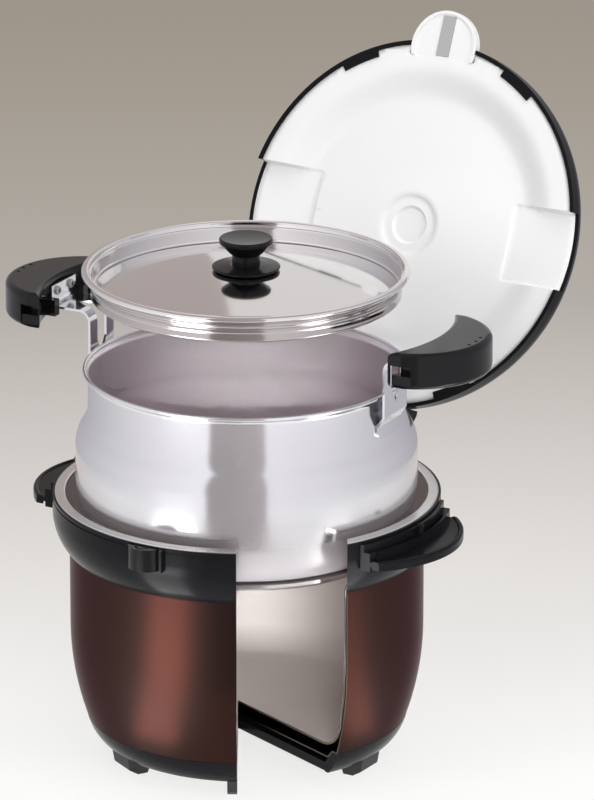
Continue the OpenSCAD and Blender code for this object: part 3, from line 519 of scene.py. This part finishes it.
def straight_ray(tree):
    """1 for what the lens sees, directly or in metal and glass."""
    path = add_node(tree, "ShaderNodeLightPath").outputs
    bounced = math_node(tree, "MAXIMUM", path["Is Glossy Ray"], path["Is Transmission Ray"])
    return math_node(tree, "MAXIMUM", path["Is Camera Ray"], bounced)


def use_surface(tree, output, share, first, second):
    """Mix two shaders and make them the surface of a material or of the world."""
    choice = add_node(tree, "ShaderNodeMixShader",
                      [(0, share), (1, first.outputs[0]), (2, second.outputs[0])])
    tree.links.new(choice.outputs[0], tree.nodes[output].inputs["Surface"])


# Tones of the floor by how far behind the cooker it lies, with an even glow over most of the
# shaded paper
fade_from, fade_to, even_share = -0.1, 1.6, 0.8
tones = [(0.03, (0.97, 0.97, 0.955)), (0.10, (0.92, 0.91, 0.895)), (0.30, (0.70, 0.665, 0.635)),
         (0.535, (0.46, 0.43, 0.395)), (0.81, (0.39, 0.35, 0.298)), (0.94, (0.36, 0.321, 0.272))]
paper = bpy.data.materials.new("studio_paper")
paper.use_nodes = True
tree = paper.node_tree
shader = tree.nodes["Principled BSDF"]
shader.inputs["Roughness"].default_value = 0.9
shader.inputs["Specular IOR Level"].default_value = 0.1
behind = along(tree, add_node(tree, "ShaderNodeNewGeometry").outputs["Position"], -view_front)
span = add_node(tree, "ShaderNodeMapRange", [(0, behind)], [("From Min", fade_from), ("From Max", fade_to)])
ramp = add_node(tree, "ShaderNodeValToRGB", [(0, span.outputs[0])])
while len(ramp.color_ramp.elements) < len(tones):
    ramp.color_ramp.elements.new(0.5)
for stop, (at, colour) in zip(ramp.color_ramp.elements, tones):
    stop.position, stop.color = at, (*colour, 1)
tree.links.new(ramp.outputs["Color"], shader.inputs["Base Color"])
glow = add_node(tree, "ShaderNodeEmission", [("Color", ramp.outputs["Color"])])
even = math_node(tree, "MULTIPLY", straight_ray(tree), even_share)
use_surface(tree, "Material Output", even, shader, glow)
floor_mesh.materials.append(paper)


def around(bearing, distance, height):
    """A point at a bearing from the lens, in degrees to the right, and a distance from the axis."""
    a = math.radians(bearing)
    level = Vector((0, 0, height))
    return view_front * (distance * math.cos(a)) + view_right * (distance * math.sin(a)) + level


def soft_box(name, bearing, distance, height, size, power, aim=0.2, spread=180):
    """A lamp that looks at a height on the axis, with its beam's angle in degrees."""
    lamp = bpy.data.lights.new(name, "AREA")
    lamp.shape = "RECTANGLE"
    lamp.size, lamp.size_y = size
    lamp.energy = power
    lamp.spread = math.radians(spread)
    made = place(name, lamp)
    made.location = around(bearing, distance, height)
    made.rotation_euler = (made.location - Vector((0, 0, aim))).to_track_quat("Z", "Y").to_euler()
    made.visible_glossy = False


def card(name, bearings, near, far, first, last, strength=1.0, steps=24):
    """A bent card between two levels, each a distance and a height, that only polished surfaces
    see. Its tone fades from the first bearing to the last."""
    points, tones = [], []
    for i in range(steps + 1):
        share = i / steps
        bearing = bearings[0] + (bearings[1] - bearings[0]) * share
        points += [around(bearing, *near), around(bearing, *far)]
        tones += [[a + (b - a) * share for a, b in zip(first, last)] + [1.0]] * 2
    mesh = bpy.data.meshes.new(name)
    mesh.from_pydata(points, [], [(2 * i, 2 * i + 2, 2 * i + 3, 2 * i + 1) for i in range(steps)])
    fade = mesh.color_attributes.new("tone", "FLOAT_COLOR", "POINT")
    for corner, tone in zip(fade.data, tones):
        corner.color = tone
    mat = bpy.data.materials.new(name)
    mat.use_nodes = True
    tree = mat.node_tree
    tree.nodes.remove(tree.nodes["Principled BSDF"])
    tone = add_node(tree, "ShaderNodeAttribute", attribute_name="tone").outputs["Color"]
    lit = add_node(tree, "ShaderNodeEmission", [("Color", tone)], [("Strength", strength)])
    tree.links.new(lit.outputs[0], tree.nodes["Material Output"].inputs["Surface"])
    mesh.materials.append(mat)
    made = place(name, mesh)
    made.visible_camera = made.visible_diffuse = made.visible_shadow = False
    made.visible_volume_scatter = made.visible_transmission = False


def tinted(colour, share):
    """A share of a colour, over 1 for a brighter one."""
    return [share * c for c in colour]


soft_box("left_box", bearing=-54, distance=1.6, height=0.9, size=(0.7, 1.2), power=9, aim=0.15)
soft_box("right_box", bearing=50, distance=1.6, height=0.7, size=(0.7, 1.2), power=12)
soft_box("front_box", bearing=25, distance=3.0, height=2.2, size=(1.8, 1.4), power=22)
soft_box("top_box", bearing=180, distance=0.2, height=2.2, size=(2.0, 2.0), power=26)
soft_box("window_box", bearing=6, distance=0.55, height=0.14, size=(0.2, 0.12), power=0.15,
         aim=0.06, spread=24)
soft_box("pot_box", bearing=0, distance=0.7, height=0.41, size=(0.1, 0.03), power=0.036,
         aim=0.212, spread=8)

white_card, grey_card, warm_card = (1.0, 0.99, 1.02), (0.42, 0.41, 0.44), (0.55, 0.505, 0.505)
back_tone, lamp_white = (0.78, 0.76, 0.75), (1.0, 1.0, 1.0)
low, high, on_floor = (0.45, 0.04), (0.75, 1.3), 0.001
front_edge = (0.45, on_floor)
card("left_card", (-24, -100), low, high, tinted(white_card, 1.1), tinted(white_card, 0.72))
card("left_rear_card", (-100, -160), low, high, tinted(white_card, 0.72), grey_card)
front_tones = tinted(warm_card, 0.6), tinted(warm_card, 0.8)
card("front_card", (-24, 12.5), front_edge, high, *front_tones)
card("front_floor_card", (-24, 12.5), (0.24, on_floor), front_edge, *front_tones)
card("right_card", (12.5, 60), low, high, tinted(white_card, 0.97), tinted(white_card, 0.8))
card("right_rear_card", (60, 160), low, high, tinted(white_card, 0.8), tinted(grey_card, 0.9))
left_light, right_light = (-57, -33), (50, 68)
card("left_floor_light", left_light, (0.115, on_floor), (0.27, on_floor), lamp_white, lamp_white, 7.0)
card("left_far_light", left_light, (0.27, on_floor), front_edge, lamp_white, lamp_white, 12.0)
card("right_floor_light", right_light, (0.115, on_floor), (0.42, on_floor), lamp_white, lamp_white, 5.0)
card("back_card", (183, 100), (1.3, 0.3), (1.3, 1.6), back_tone, back_tone)

# The world lights the cooker softly, and metal sees a warm grey room
world = bpy.data.worlds.new("studio_world")
world.use_nodes = True
tree = world.node_tree
plain = tree.nodes["Background"]
plain.inputs["Color"].default_value = (0.98, 0.98, 1.0, 1)
plain.inputs["Strength"].default_value = 0.36
room = add_node(tree, "ShaderNodeBackground", values=[("Color", (0.47, 0.415, 0.40, 1))])
use_surface(tree, "World Output", straight_ray(tree), plain, room)
bpy.context.scene.world = world
bpy.context.scene.view_settings.view_transform = "Standard"
